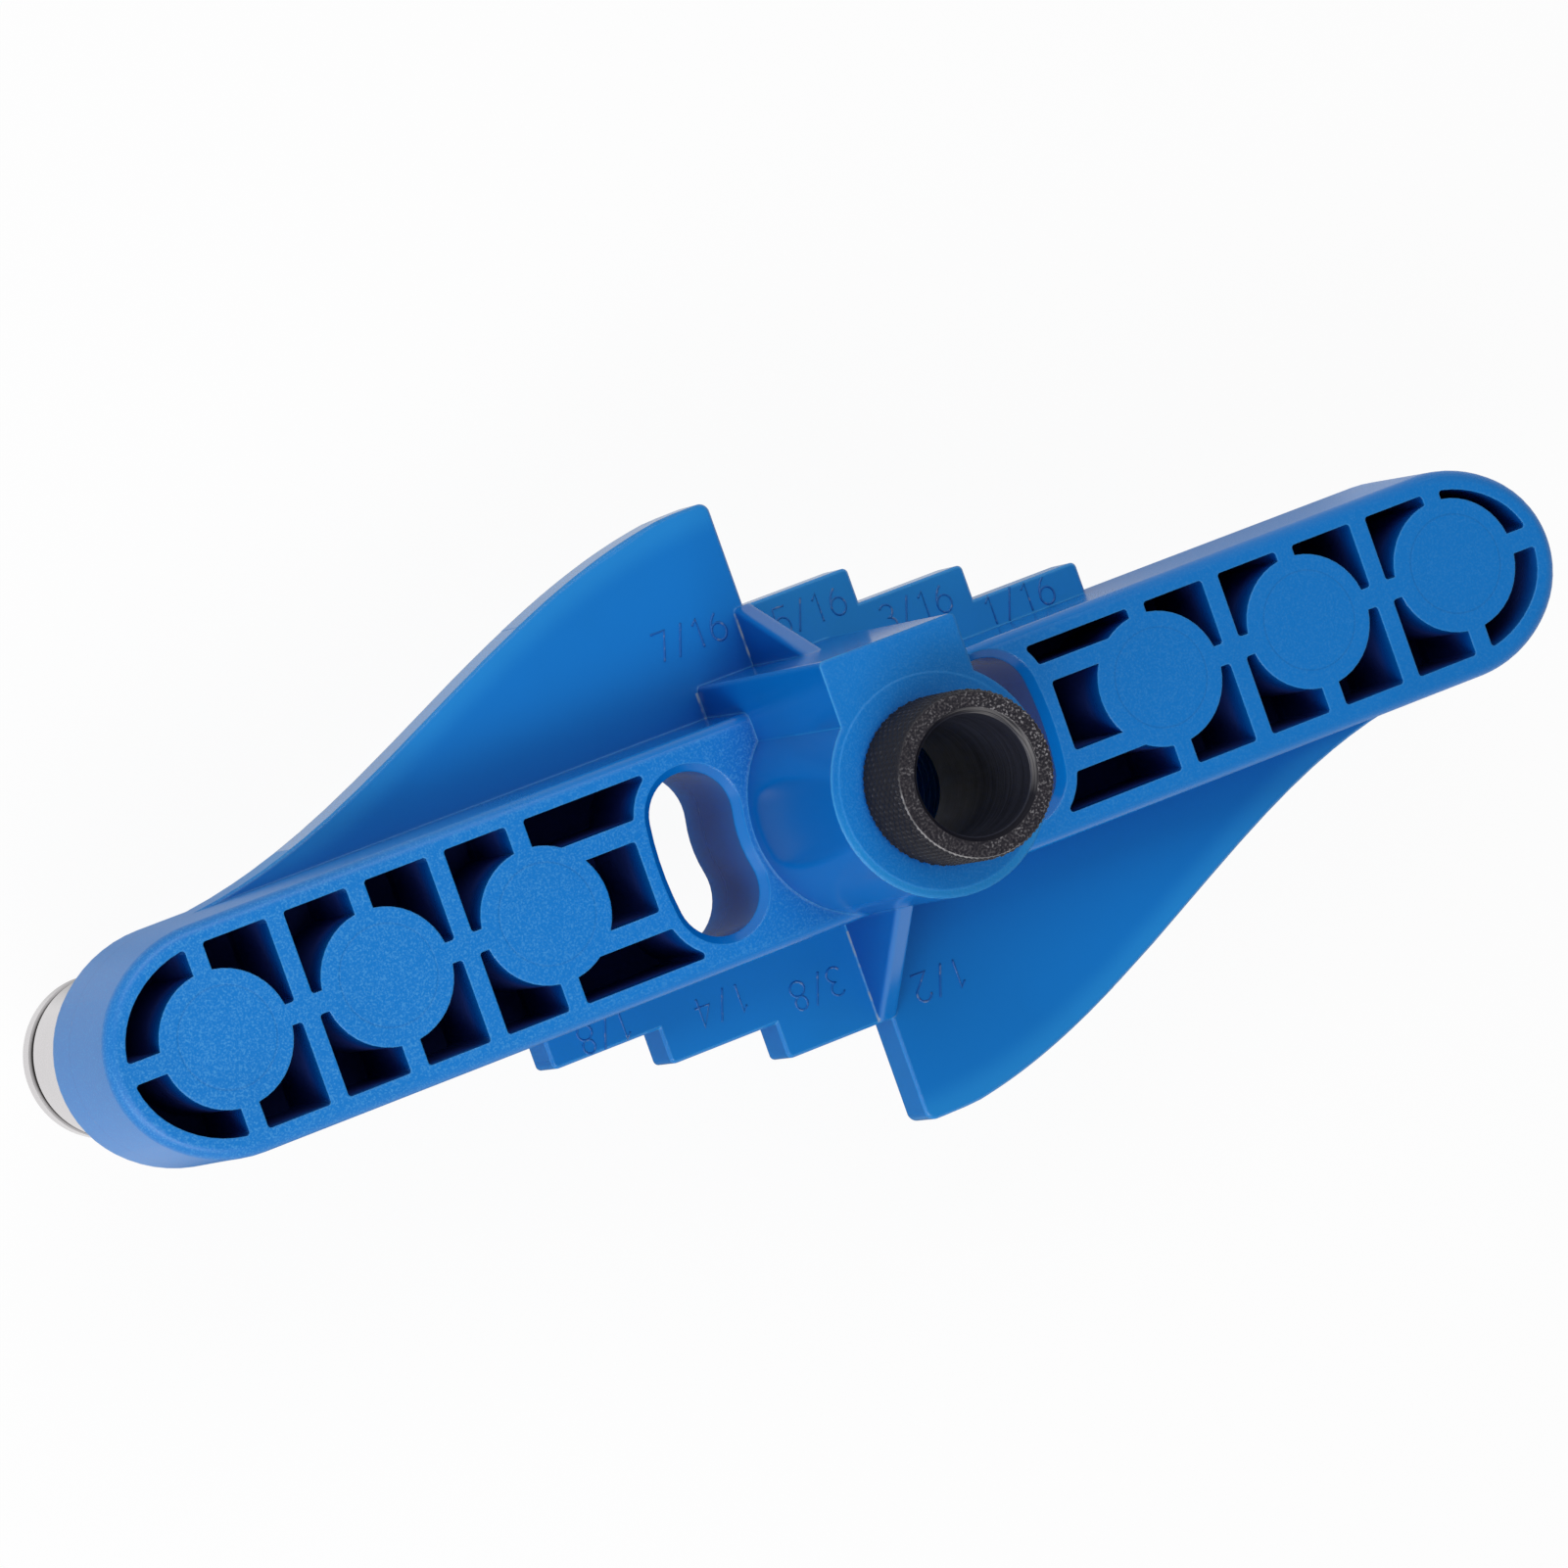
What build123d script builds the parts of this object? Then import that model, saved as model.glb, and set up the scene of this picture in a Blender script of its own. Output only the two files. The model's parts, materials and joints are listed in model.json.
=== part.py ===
from build123d import *
import os
from math import atan, cos, degrees, hypot, pi, radians, sin, tan

# Doweling jig with two guide rollers, a drill bush and a pair of stepped gauge fins.
# Millimetres. The origin is where the drill axis meets the work face of the bar.
# X runs along the bar, Y across it, and Z up the drill axis, away from the board.

# Step of the gauge treads: an eighth of an inch
eighth = 25.4 / 8

# Bar: a drafted block with arched ends, narrower on its top right side
bar_thickness = 13.0
bar_half_width = 9.72
narrow_half_width = 8.23
bar_back_growth = 0.3
bar_edge_radius = 1.0
left_shoulder_x = 58.8
left_reach = 10.54
right_shoulder_x = 58.4
right_reach = 10.12
arch_sharpness = 0.75
bar_draft = degrees(atan(bar_back_growth / bar_thickness))

# Roller stations: round solid bosses that can each take a roller screw
station_radius = 5.75
station_xs = (29.5, 44.25, 59.0)

# Pockets between the ribs of the bar
pocket_floor = 2.5
pocket_corner_radius = 0.3
left_wall = 1.7
right_top_wall = 1.67
right_bottom_wall = 1.88
station_rib = 1.65
cross_rib = 1.6
centre_rib = 1.8
inner_rib_low_y = 3.07
inner_rib_high_y = 4.75
square_pocket_end_x = 20.0

# Kidney holes beside the boss, wider at the work face
kidney_end_x = 14.35
kidney_end_y = 3.35
kidney_end_radius = 3.65
kidney_inner_radius = 11.05
kidney_outer_x = 18.25
kidney_back_growth = 0.65
kidney_wall = 1.65
kidney_lip = 0.7
kidney_draft = degrees(atan(kidney_back_growth / bar_thickness))

# Gauge plate, flush with the work face
plate_thickness = 4.0
plate_edge_chamfer = 0.2
tread_depth = 10.0
tread_count = 3
tread_corner_radius = 0.5
top_gauge_x = -0.3
bottom_gauge_x = -0.1
top_first_tread = 2.5 * eighth
bottom_first_tread = 3 * eighth

# Tall fins: half a cosine wave with its crest on the drill axis
top_fin_y = 26.98
bottom_fin_y = 28.55
fin_start_x = 59.3
fin_tip_x = 1.5
fin_points = 11
fin_corner_radius = 0.9

# Boss and the square block beside it
boss_height = 30.75
boss_front_radius = 9.6
boss_draft = 0.8
block_left_x = -6.65
block_right_x = 6.05
block_top_y = 12.5
block_draft = 0.3
block_corner_radius = 0.4

# Gussets that stiffen the tall fins
gusset_left_x = -1.3
gusset_right_x = 0.5
gusset_edge_radius = 0.4
top_gusset_reach_y = 17.7
top_gusset_high_z = 15.8
bottom_gusset_reach_y = 19.2
bottom_gusset_high_z = 16.3

# Drill bush, held by a half-inch thread whose pitch radius is the wall modelled here
thread_radius = 6.0
thread_clearance = 0.05
bush_bore_radius = 5.0
bush_mouth_radius = 5.35
bush_head_radius = 7.0
bush_head_height = 7.55
bush_chamfer = 0.3
bush_length = 19.5

# Guide rollers, each turning on the shoulder of a screw
roller_radius = 6.9
roller_bore_radius = 4.05
roller_top_gap = 0.1
roller_end_gap = 0.8
shoulder_radius = 4.0
screw_head_height = 2.1
guide_reach = 20.3
screw_thread_radius = 2.68
screw_thread_length = 8.0
socket_radius = 2.7
socket_depth = 9.0
key_across_flats = 5.0
key_depth = 3.0

# Sizes that only help the modelling
overlap = 1.0
tall = 4 * bar_half_width
same_place = 0.01


def end_outline(sign, shoulder_x, reach, top_y, bottom_y):
    """Half of the bar, from just past the drill axis out to its three-centred arch."""
    half = (top_y - bottom_y) / 2
    tip_radius = half - arch_sharpness * (reach - half)
    run = reach - tip_radius
    side_radius = (run**2 + half**2 - tip_radius**2) / (2 * (half - tip_radius))
    stretch = tip_radius / (side_radius - tip_radius)
    join = (shoulder_x + run * (1 + stretch), (side_radius - half) * stretch)
    lean = atan(run / (side_radius - half)) / 2
    middle_of_side = (shoulder_x + side_radius * sin(lean), half - side_radius * (1 - cos(lean)))
    corner = (-overlap, half)
    shoulder = (shoulder_x, half)
    tip = (shoulder_x + reach, 0)
    edges = Line(mirrored(corner), mirrored(shoulder))
    edges += ThreePointArc(mirrored(shoulder), mirrored(middle_of_side), mirrored(join))
    edges += ThreePointArc(mirrored(join), tip, join)
    edges += ThreePointArc(join, middle_of_side, shoulder)
    edges += Polyline(shoulder, corner, mirrored(corner))
    face = make_face(edges)
    if sign < 0:
        face = Rot(0, 0, 180) * face
    return Pos(0, (top_y + bottom_y) / 2) * face


def mirrored(point):
    return (point[0], -point[1])


def bar_half(sign, shoulder_x, reach, top_y):
    """One drafted half of the bar with its front edge rounded, cut off at x = 0."""
    growth = bar_back_growth
    outline = end_outline(sign, shoulder_x, reach + growth, top_y + growth, -bar_half_width - growth)
    half = extrude(outline, amount=bar_thickness, taper=bar_draft)
    front = half.faces().sort_by(Axis.Z)[-1]
    rim = [e for e in front.edges() if abs(e.center().X) > 2 * overlap]
    half = fillet(rim, bar_edge_radius)
    size = 4 * shoulder_x
    return half & Pos(sign * size / 2, 0, 0) * Box(size, size, size)


def bar():
    left = bar_half(-1, left_shoulder_x, left_reach, bar_half_width)
    right = bar_half(1, right_shoulder_x, right_reach, narrow_half_width)
    return left + right


def fin_curve(sign, rise):
    """The long S of a tall fin, from the bar wall up to its flat tip."""
    points = []
    for i in range(fin_points):
        x = fin_start_x + (fin_tip_x - fin_start_x) * i / (fin_points - 1)
        y = bar_half_width + rise * (1 + cos(pi * x / fin_start_x)) / 2
        points.append((sign * x, -sign * y))
    along = (-sign, 0)
    return Spline(*points, tangents=[along, along])


def nearest(corner, places):
    return min(hypot(corner.X - x, corner.Y - y) for x, y in places)


def corners_at(outline, places):
    """The outline's vertices that lie at the given places."""
    return [corner for corner in outline.vertices() if nearest(corner, places) < same_place]


def gauge_outline(sign, zero_x, tip_y, first_tread):
    """A tall fin on the side that sign gives, and three treads on the other side."""
    curve = fin_curve(sign, tip_y - bar_half_width)
    tip = (zero_x, (curve @ 1).Y)
    points = [curve @ 1, tip]
    tread_ends = []
    for i in range(tread_count):
        near_x = zero_x - sign * i * tread_depth
        far_x = near_x - sign * tread_depth
        y = -sign * (bar_half_width + first_tread - i * eighth)
        points += [(near_x, y), (far_x, y)]
        tread_ends.append((far_x, y))
    points.append((zero_x - sign * tread_count * tread_depth, 0))
    points.append((sign * fin_start_x, 0))
    points.append(curve @ 0)
    outline = make_face(curve + Polyline(*points))
    outline = fillet(corners_at(outline, tread_ends), tread_corner_radius)
    return fillet(corners_at(outline, [tip]), fin_corner_radius)


def gauge_plate(sign, zero_x, tip_y, first_tread):
    plate = extrude(gauge_outline(sign, zero_x, tip_y, first_tread), amount=plate_thickness)
    front = plate.faces().sort_by(Axis.Z)[-1]
    outer = [e for e in front.edges() if abs(e.center().Y) > bar_half_width]
    return chamfer(outer, plate_edge_chamfer)


def boss():
    foot_radius = boss_front_radius + boss_height * tan(radians(boss_draft))
    return Pos(0, 0, boss_height / 2) * Cone(foot_radius, boss_front_radius, boss_height)


def block():
    growth = boss_height * tan(radians(block_draft))
    width = block_right_x - block_left_x + 2 * growth
    depth = block_top_y + growth
    middle_x = (block_left_x + block_right_x) / 2
    outline = Pos(middle_x, depth / 2) * Rectangle(width, depth)
    solid = extrude(outline, amount=boss_height, taper=block_draft)
    walls = solid.faces().sort_by(Axis.Z)[1:-1]
    top_wall = walls.sort_by(Axis.Y)[-1]
    corners = [e for e in top_wall.edges() if e.bounding_box().size.Z > boss_height / 2]
    return fillet(corners, block_corner_radius)


def gusset(reach_y, wall_y, high_z):
    """A thin web that slopes from the plate up to the wall of the boss or block."""
    foot = (reach_y, plate_thickness)
    outline = Polyline((0, 0), (reach_y, 0), foot, (wall_y, high_z), (0, high_z), (0, 0))
    web = extrude(Plane.YZ * make_face(outline), amount=gusset_right_x - gusset_left_x)
    slope_y = (reach_y + wall_y) / 2
    slope = [e for e in web.edges() if abs(e.center().Y - slope_y) < same_place]
    return Pos(gusset_left_x, 0, 0) * fillet(slope, gusset_edge_radius)


def kidney(sign, grow=0.0):
    """A bean-shaped outline, concave towards the boss."""
    end = kidney_end_radius + grow
    inner = kidney_inner_radius - grow
    outer_x = kidney_outer_x + grow
    gap_x = outer_x - kidney_end_x
    outer = (end**2 - gap_x**2 - kidney_end_y**2) / (2 * (end - gap_x))
    reach = hypot(kidney_end_x, kidney_end_y)
    inner_end = (kidney_end_x * inner / reach, kidney_end_y * inner / reach)
    centre_x = outer_x - outer
    run = hypot(kidney_end_x - centre_x, kidney_end_y)
    outer_end = (centre_x + (kidney_end_x - centre_x) * outer / run, kidney_end_y * outer / run)
    top = (kidney_end_x, kidney_end_y + end)
    edges = ThreePointArc(mirrored(outer_end), (outer_x, 0), outer_end)
    edges += ThreePointArc(outer_end, top, inner_end)
    edges += ThreePointArc(inner_end, (inner, 0), mirrored(inner_end))
    edges += ThreePointArc(mirrored(inner_end), mirrored(top), mirrored(outer_end))
    face = make_face(edges)
    return face if sign > 0 else Rot(0, 0, 180) * face


def kidney_hole(sign):
    """The hole as a solid, drafted so that it narrows towards the front."""
    return extrude(kidney(sign, kidney_back_growth), amount=bar_thickness, taper=kidney_draft)


def inner_walls(sign):
    """Everything inside the outer wall of one half of the bar."""
    if sign < 0:
        top_y = bar_half_width - left_wall
        return end_outline(sign, left_shoulder_x, left_reach - left_wall, top_y, -top_y)
    top_y = narrow_half_width - right_top_wall
    bottom_y = right_bottom_wall - bar_half_width
    reach = right_reach - (right_top_wall + right_bottom_wall) / 2
    return end_outline(sign, right_shoulder_x, reach, top_y, bottom_y)


def ribs(sign):
    """The solid bosses and the ribs that join them, seen from the front."""
    shape = Sketch()
    for x in station_xs:
        shape += Pos(sign * x, 0) * Circle(station_radius)
        shape += Pos(sign * x, 0) * Rectangle(station_rib, tall)
    for near, far in zip(station_xs, station_xs[1:]):
        shape += Pos(sign * (near + far) / 2, 0) * Rectangle(cross_rib, tall)
    outer_length = 2 * station_xs[-1]
    shape += Pos(sign * (station_xs[0] + outer_length / 2), 0) * Rectangle(outer_length, centre_rib)
    rib_width = inner_rib_high_y - inner_rib_low_y
    rib_y = (inner_rib_high_y + inner_rib_low_y) / 2
    for y in (-rib_y, rib_y):
        shape += Pos(sign * station_xs[0] / 2, y) * Rectangle(station_xs[0], rib_width)
    shape += Pos(sign * square_pocket_end_x / 2, 0) * Rectangle(square_pocket_end_x, 2 * inner_rib_low_y)
    return shape


def pockets(sign):
    """The pockets of one half as solids, with corners rounded where they don't meet a boss."""
    walls = inner_walls(sign)
    outlines = walls - Rectangle(2 * kidney_end_x, tall) - kidney(sign, kidney_wall) - ribs(sign)
    smooth_joins = [(v.X, v.Y) for v in walls.vertices()]
    stations = [(sign * x, 0) for x in station_xs]
    corners = []
    for corner in outlines.vertices():
        at_boss = nearest(corner, stations) < station_radius + pocket_corner_radius
        if not at_boss and nearest(corner, smooth_joins) > same_place:
            corners.append(corner)
    outlines = fillet(corners, pocket_corner_radius)
    return Pos(0, 0, pocket_floor) * extrude(outlines, amount=bar_thickness - pocket_floor)


def with_kidney_lips(body):
    """Bevels the front edges of the two kidney holes."""
    front = [f for f in body.faces() if abs(f.center().Z - bar_thickness) < same_place][0]
    lips = []
    for wire in front.inner_wires():
        if abs(wire.bounding_box().center().X) < kidney_outer_x:
            lips.extend(wire.edges())
    return chamfer(lips, kidney_lip)


def jig_body():
    body = bar()
    body += gauge_plate(-1, top_gauge_x, top_fin_y, top_first_tread)
    body += gauge_plate(1, bottom_gauge_x, bottom_fin_y, bottom_first_tread)
    for sign in (-1, 1):
        body -= kidney_hole(sign)
        body -= pockets(sign)
        for x in station_xs:
            body -= Pos(sign * x, 0, socket_depth / 2) * Cylinder(socket_radius, socket_depth)
    body = with_kidney_lips(body)
    body += boss() + block()
    body += gusset(top_gusset_reach_y, block_top_y, top_gusset_high_z)
    body += gusset(-bottom_gusset_reach_y, -boss_front_radius, bottom_gusset_high_z)
    body -= Pos(0, 0, boss_height / 2) * Cylinder(thread_radius, boss_height)
    return body


def drill_bush():
    mouth_z = boss_height + bush_head_height
    end_z = mouth_z - bush_length
    shank = thread_radius - thread_clearance
    mouth_drop = 2 * (bush_mouth_radius - bush_bore_radius)
    profile = Polyline(
        (bush_bore_radius, end_z),
        (shank, end_z),
        (shank, boss_height),
        (bush_head_radius, boss_height),
        (bush_head_radius, mouth_z - bush_chamfer),
        (bush_head_radius - bush_chamfer, mouth_z),
        (bush_mouth_radius, mouth_z),
        (bush_bore_radius, mouth_z - mouth_drop),
        (bush_bore_radius, end_z),
    )
    return revolve(Plane.XZ * make_face(profile), axis=Axis.Z)


def roller(x):
    top_z = -roller_top_gap
    end_z = -guide_reach + screw_head_height + roller_end_gap
    profile = Polyline(
        (roller_bore_radius, end_z),
        (roller_radius, end_z),
        (roller_radius, top_z),
        (roller_bore_radius, top_z),
        (roller_bore_radius, end_z),
    )
    return Pos(x, 0, 0) * revolve(Plane.XZ * make_face(profile), axis=Axis.Z)


def roller_screw(x):
    """A shoulder screw: flat head with a hexagon socket, shoulder, and threaded end."""
    head_z = -guide_reach + screw_head_height
    profile = Polyline(
        (0, -guide_reach),
        (roller_radius, -guide_reach),
        (roller_radius, head_z),
        (shoulder_radius, head_z),
        (shoulder_radius, 0),
        (screw_thread_radius, 0),
        (screw_thread_radius, screw_thread_length),
        (0, screw_thread_length),
        (0, -guide_reach),
    )
    screw = revolve(Plane.XZ * make_face(profile), axis=Axis.Z)
    key = RegularPolygon(key_across_flats / 2, 6, major_radius=False)
    screw -= Pos(0, 0, -guide_reach) * extrude(key, amount=key_depth)
    return Pos(x, 0, 0) * screw


parts = {
    "jig_body": jig_body(),
    "drill_bush": drill_bush(),
    "guide_roller_left": roller(-station_xs[-1]),
    "guide_roller_right": roller(station_xs[-1]),
    "roller_screw_left": roller_screw(-station_xs[-1]),
    "roller_screw_right": roller_screw(station_xs[-1]),
}

os.makedirs("parts", exist_ok=True)
for name, part in parts.items():
    part.label = name
    export_step(part, f"parts/{name}.step")
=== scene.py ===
import math
import json
import bpy
from mathutils import Matrix, Vector


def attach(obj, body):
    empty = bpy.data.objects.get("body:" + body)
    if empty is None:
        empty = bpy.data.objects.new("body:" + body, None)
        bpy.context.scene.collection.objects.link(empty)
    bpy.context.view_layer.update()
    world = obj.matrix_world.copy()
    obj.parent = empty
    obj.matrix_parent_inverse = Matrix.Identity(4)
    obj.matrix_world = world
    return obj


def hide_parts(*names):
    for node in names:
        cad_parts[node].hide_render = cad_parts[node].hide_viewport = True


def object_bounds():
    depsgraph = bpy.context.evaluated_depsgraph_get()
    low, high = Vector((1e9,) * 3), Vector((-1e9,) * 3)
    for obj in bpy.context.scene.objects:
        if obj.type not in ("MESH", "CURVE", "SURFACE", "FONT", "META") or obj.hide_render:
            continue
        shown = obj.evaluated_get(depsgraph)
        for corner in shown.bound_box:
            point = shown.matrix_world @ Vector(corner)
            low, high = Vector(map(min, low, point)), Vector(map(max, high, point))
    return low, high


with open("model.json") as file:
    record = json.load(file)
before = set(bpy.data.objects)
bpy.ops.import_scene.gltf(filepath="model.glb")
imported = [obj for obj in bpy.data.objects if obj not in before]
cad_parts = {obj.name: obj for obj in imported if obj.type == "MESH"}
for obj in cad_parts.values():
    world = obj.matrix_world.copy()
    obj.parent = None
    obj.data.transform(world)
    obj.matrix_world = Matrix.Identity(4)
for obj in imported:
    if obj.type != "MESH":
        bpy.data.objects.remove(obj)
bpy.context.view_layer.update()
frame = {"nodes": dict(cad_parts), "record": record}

# The doweling jig, in metres, in the frame of its solids: the drill axis is Z, and z = 0 is the work face.
mm = 0.001
tau = 2 * math.pi
sharp_angle = 35

# Camera, solved from the photograph
camera_place = Vector((-300.44, 53.92, 745.60)) * mm
camera_target = Vector((-5.86, 3.09, 13.00)) * mm
camera_up = Vector((0.332791, 0.940505, 0.068563))
camera_focal_px = 9759.4
photo_width_px = 1601
sensor_width = 36.0

# Places on the solids that the pieces and the finish follow
plate_top_z = 4.0 * mm
bar_top_z = 13.0 * mm
pocket_floor_z = 2.5 * mm
thread_wall_radius = 6.0 * mm
station_pitch = 14.75 * mm
outer_station_x = 59.0 * mm
hole_reach = 19.1 * mm
pocket_reach = 9.0 * mm
narrow_pocket_reach = (7.3 * mm, 8.5 * mm)
bore_reach = 6.3 * mm
bar_half_width = 10.1 * mm
boss_front_z = 30.75 * mm
boss_ring_radius = 8.9 * mm
block_foot_x = -6.95 * mm
gusset_foot_x = -1.3 * mm
# The feet where pale root lines are painted as highlights: x, and the range of y
highlighted_feet = [
    (block_foot_x, 9.9 * mm, 12.2 * mm),
    (gusset_foot_x, 13.4 * mm, 17.3 * mm),
    (gusset_foot_x, -24.0 * mm, -11.0 * mm),
]
pocket_light_depth = 4.0 * mm
plate_zone_z = plate_top_z + 0.2 * mm
near_face = 0.05 * mm
bar_wall_reach = (7.6 * mm, 12.0 * mm)
bar_grain_x = (16 * mm, 42 * mm)
middle_x = (9.8 * mm, 10.6 * mm)
ring_radius = 4.25 * mm
ring_shift = (0.15 * mm, 0.1 * mm)
ring_from_x = 22 * mm

# Soft boxes: name, place and size in metres, and power in watts
lamps = [
    ("key", (-0.13, -0.17, 0.30), (0.18, 0.16), 0.42),
    ("back", (-0.03, 0.19, 0.28), (0.26, 0.18), 0.38),
    ("side", (-0.26, -0.12, 0.20), (0.16, 0.16), 0.26),
]

# The floor lies just under the object
floor_drop = 0.02 * mm
floor_half_size = 3.0
floor_paint = (0.86, 0.86, 0.87)
floor_glow_share = 0.94

# How bright the floor and the world show in the object's mirror images, by place; the floor's levels are a
# painted pattern, darkest under the object as a painted shadow
mirrored_under = 0.14
mirrored_behind = 0.55
mirrored_in_front = 0.75
mirrored_beside = 0.85
mirrored_walls = 0.70
mirrored_ceiling = 0.06

# How much the world lights the object, by direction
light_from_left = 0.52
light_from_right = 0.38
light_from_ceiling = 0.10

# The curved edges of the two tall fins, with a thin strip near each tip that evens a slight waver.
# Where it starts, the strip stands out by a share of the fin's rise.
fin_tips_y = (26.98 * mm, 28.55 * mm)
fin_root_y = 9.72 * mm
fin_reach = 59.3 * mm
fin_fill_from = 4.925 * mm
fin_fill_to = 20.0 * mm
fin_fill_share = 0.00956
fin_fill_width = 1.2 * mm
plate_chamfer = 0.2 * mm
flush_gap = 0.004 * mm

# The drill bush
bush_shank_radius = 5.95 * mm
bush_bore_radius = 5.0 * mm
bush_mouth_radius = 5.45 * mm
bush_mouth_depth = 0.6 * mm
bush_head_radius = 7.0 * mm
bush_seat_z = 30.75 * mm
bush_top_z = 38.3 * mm
bush_end_z = 18.8 * mm
bush_chamfer = 0.28 * mm
knurl_teeth = 44
knurl_pitch = 1.0 * mm
knurl_depth = 0.21 * mm
knurl_samples = 8

# The thread in the plastic below the bush
thread_pitch = 1.27 * mm
thread_crest_radius = 5.64 * mm
thread_start_z = 1.2 * mm
thread_sharp_angle = 50

# The guides and their screws
guide_x = 59.0 * mm
roller_radius = 6.9 * mm
roller_bore_radius = 4.05 * mm
roller_ends_z = (-17.4 * mm, -0.1 * mm)
roller_chamfer = 0.3 * mm
screw_head_z = (-20.3 * mm, -18.2 * mm)
screw_shoulder_radius = 4.0 * mm
screw_thread_radius = 2.68 * mm
screw_thread_end_z = 8.0 * mm
hex_half_width = 2.5 * mm
hex_depth = 3.0 * mm
hex_mouth_radius = 3.05 * mm
hex_mouth_depth = 0.15 * mm
guide_segments = 144

# The scale numbers: text, centre and whether it stands the other way up
numeral_height = 2.45 * mm
numeral_pitch = 1.76 * mm
numeral_stroke = 0.21 * mm
numeral_sink = 0.02 * mm
scale_numbers = [
    ("7/16", (-5.83, 16.85), False),
    ("5/16", (5.14, 15.30), False),
    ("3/16", (14.36, 12.35), False),
    ("1/16", (23.55, 9.90), False),
    ("1/8", (-24.75, -11.50), True),
    ("1/4", (-14.15, -12.95), True),
    ("3/8", (-5.58, -14.60), True),
    ("1/2", (5.16, -17.75), True),
]

# Texture scales, per metre, and the fine marks of turning, which run round the Z axis
grain_scale = 6200.0
tone_scale = 70.0
highlight_break_scale = 900.0
fleck_scale = 1500.0
patch_scale = 900.0
grit_scale = 4800.0
haze_scale = 260.0
bore_marks = (150.0, 150.0, 5200.0)
mouth_marks = (300.0, 300.0, 9000.0)
roller_marks = (60.0, 60.0, 9000.0)

# How strongly each feature of the plastic shows; most are painted light or shade: the fins' glow, the boss
# ring's line, the glints, the figures' shade, the root highlights, the treads' light, the reach of the
# corner shade and the edge highlights
glow_strength = 0.34
ring_line_strength = 0.12
ring_shading = 0.88
glint_strength = 0.42
figure_shading = 0.55
root_highlight_strength = 0.85
# The share of light painted onto the treads, which the bar shades
tread_openness = 0.92
shade_distance = 14 * mm
# Strength of the painted edge highlights on edges other than the block's corner and the treads
other_edges = 0.40

# Roughness of each surface
walls_rough = 0.17
front_rough = 0.34
grained_rough = (0.36, 0.46)
pocket_rough = 0.75
bore_rough = 0.8
figures_rough = 0.42
black_rough = (0.40, 0.52)
knurl_rough = 0.60
steel_rough = (0.20, 0.32)
grime_rough = 0.6

# Rounding of edges, and depth of surface texture
body_rounding = (0.25 * mm, 0.45 * mm)
bush_rounding = 0.07 * mm
roller_rounding = 0.06 * mm
grain_depth = 0.03 * mm
ring_depth = 0.05 * mm
step_depth = 0.06 * mm
lathe_depth = 0.04 * mm
grit_depth = 0.07 * mm
turning_depth = 0.01 * mm

# Colours, as linear values
white = (1.0, 1.0, 1.0)
black = (0.0, 0.0, 0.0)
blue = (0.001, 0.187, 0.600)
# The blue of painted shade, in corners, on the middle's upright walls and on the raised figures
shade_blue = (0.0, 0.080, 0.400)
# The navy of the pockets' painted shade
navy = (0.0, 0.020, 0.190)
# The pale blue of the painted glints
glint_blue = (0.10, 0.42, 0.78)
bore_low = (0.020, 0.022, 0.034)
bore_high = (0.060, 0.066, 0.100)
lit_blue = (0.03, 0.36, 0.80)
highlight_pale = (0.28, 0.37, 0.48)
bore_blue = (0.003, 0.190, 0.480)
oxide = (0.006, 0.006, 0.012)
oxide_face = (0.034, 0.031, 0.037)
grime = (0.012, 0.009, 0.007)
worn_and_lit_steel = (0.40, 0.39, 0.40)
pitted_and_lit = (0.34, 0.33, 0.35)
steel = (0.66, 0.64, 0.65)


def make_camera():
    data = bpy.data.cameras.new("camera")
    data.sensor_width = sensor_width
    data.lens = camera_focal_px / photo_width_px * sensor_width
    data.clip_start = 0.01
    data.clip_end = 20.0
    camera = bpy.data.objects.new("camera", data)
    bpy.context.scene.collection.objects.link(camera)
    back = (camera_place - camera_target).normalized()
    right = camera_up.cross(back).normalized()
    up = back.cross(right)
    turn = Matrix((right, up, back)).transposed().to_4x4()
    camera.matrix_world = Matrix.Translation(camera_place) @ turn
    bpy.context.scene.camera = camera


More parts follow.
